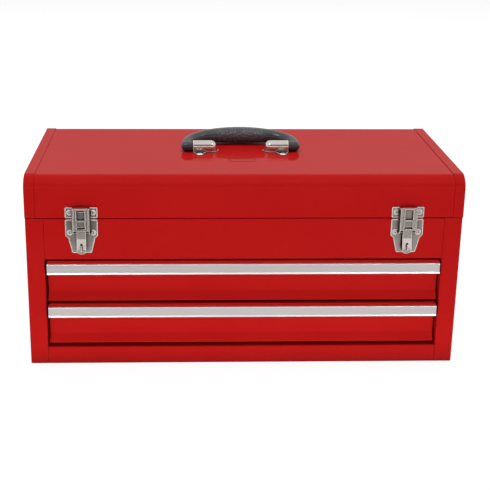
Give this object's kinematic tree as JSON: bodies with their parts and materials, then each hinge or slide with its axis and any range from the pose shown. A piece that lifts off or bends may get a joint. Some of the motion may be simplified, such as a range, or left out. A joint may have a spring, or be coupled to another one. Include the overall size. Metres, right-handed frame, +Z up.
{
  "type": "portable tool box with drawers",
  "caption": "Portable steel tool box with a hinged lid over an upper compartment, ball-bearing drawers below, draw latches and a folding carry handle.",
  "frame": {"origin": "middle of the flat underside of the case", "axes": "+X to the right along the width, -Y to the front with the drawers and latches, +Z up"},
  "size_m": [0.52, 0.2357, 0.2615],
  "materials": {
    "red_paint": "gloss enamel",
    "latch_nickel": "bright nickel plate on pressed steel",
    "slide_zinc": "zinc plated",
    "pull_aluminium": "satin anodised",
    "bearing_steel": "polished",
    "grip_plastic": "moulded, fine grain"
  },
  "bodies": {
    "case": {"side_left": "red_paint", "side_right": "red_paint", "back_panel": "red_paint", "bottom_panel": "red_paint", "front_top_panel": "red_paint", "front_bottom_rail": "red_paint", "compartment_floor": "red_paint", "runner_panel_left": "red_paint", "runner_panel_right": "red_paint", "upper_outer_rail_left": "slide_zinc", "upper_outer_rail_right": "slide_zinc", "lower_outer_rail_left": "slide_zinc", "lower_outer_rail_right": "slide_zinc", "hinge_case_leaf": "red_paint", "hinge_pin": "slide_zinc", "latch_base_left": "latch_nickel", "latch_base_right": "latch_nickel", "latch_base_rivets": "latch_nickel", "lever_pin_left": "slide_zinc", "lever_pin_right": "slide_zinc"},
    "lid": {"lid_sheet": "red_paint", "lid_end_left": "red_paint", "lid_end_right": "red_paint", "lid_stiffener": "red_paint", "hinge_lid_leaf": "red_paint", "latch_keeper_left": "latch_nickel", "latch_keeper_right": "latch_nickel", "latch_keeper_rivets": "latch_nickel", "handle_bracket_left": "latch_nickel", "handle_bracket_right": "latch_nickel", "handle_rivets": "latch_nickel"},
    "handle": {"handle_grip": "grip_plastic"},
    "lever_left": {"latch_lever_left": "latch_nickel", "claw_pin_left": "slide_zinc"},
    "claw_left": {"latch_claw_left": "latch_nickel"},
    "lever_right": {"latch_lever_right": "latch_nickel", "claw_pin_right": "slide_zinc"},
    "claw_right": {"latch_claw_right": "latch_nickel"},
    "upper_drawer": {"upper_drawer_tray": "red_paint", "upper_drawer_front": "red_paint", "upper_drawer_pull": "pull_aluminium", "upper_inner_rail_left": "slide_zinc", "upper_inner_rail_right": "slide_zinc"},
    "upper_ball_cages": {"upper_ball_cage_left": "slide_zinc", "upper_ball_cage_right": "slide_zinc", "upper_balls_left": "bearing_steel", "upper_balls_right": "bearing_steel"},
    "lower_drawer": {"lower_drawer_tray": "red_paint", "lower_drawer_front": "red_paint", "lower_drawer_pull": "pull_aluminium", "lower_inner_rail_left": "slide_zinc", "lower_inner_rail_right": "slide_zinc"},
    "lower_ball_cages": {"lower_ball_cage_left": "slide_zinc", "lower_ball_cage_right": "slide_zinc", "lower_balls_left": "bearing_steel", "lower_balls_right": "bearing_steel"}
  },
  "joints": [
    {"name": "lid_hinge", "type": "hinge", "parent": "case", "child": "lid", "pos_m": [0, 0.1125, 0.1895], "axis": [-1, 0, 0], "range_deg": [0, 100]},
    {"name": "handle_fold", "type": "hinge", "parent": "lid", "child": "handle", "pos_m": [0, 0, 0.2466], "axis": [1, 0, 0], "range_deg": [0, 166]},
    {"name": "lever_left_swing", "type": "hinge", "parent": "case", "child": "lever_left", "pos_m": [-0.1933, -0.1146, 0.1825], "axis": [-1, 0, 0], "range_deg": [0, 90]},
    {"name": "claw_left_swing", "type": "hinge", "parent": "lever_left", "child": "claw_left", "pos_m": [-0.1933, -0.1132, 0.1725], "axis": [-1, 0, 0], "range_deg": [-90, 0]},
    {"name": "lever_right_swing", "type": "hinge", "parent": "case", "child": "lever_right", "pos_m": [0.1933, -0.1146, 0.1825], "axis": [-1, 0, 0], "range_deg": [0, 90]},
    {"name": "claw_right_swing", "type": "hinge", "parent": "lever_right", "child": "claw_right", "pos_m": [0.1933, -0.1132, 0.1725], "axis": [-1, 0, 0], "range_deg": [-90, 0]},
    {"name": "upper_drawer_slide", "type": "slide", "parent": "case", "child": "upper_drawer", "axis": [0, -1, 0], "range_m": [0, 0.135]},
    {"name": "upper_cage_slide", "type": "slide", "parent": "case", "child": "upper_ball_cages", "axis": [0, -1, 0], "range_m": [0, 0.0675]},
    {"name": "lower_drawer_slide", "type": "slide", "parent": "case", "child": "lower_drawer", "axis": [0, -1, 0], "range_m": [0, 0.135]},
    {"name": "lower_cage_slide", "type": "slide", "parent": "case", "child": "lower_ball_cages", "axis": [0, -1, 0], "range_m": [0, 0.0675]}
  ],
  "couplings": [
    {"joint": "claw_left_swing", "follows": "lever_left_swing", "ratio": -1},
    {"joint": "claw_right_swing", "follows": "lever_right_swing", "ratio": -1},
    {"joint": "upper_cage_slide", "follows": "upper_drawer_slide", "ratio": 0.5},
    {"joint": "lower_cage_slide", "follows": "lower_drawer_slide", "ratio": 0.5}
  ]
}
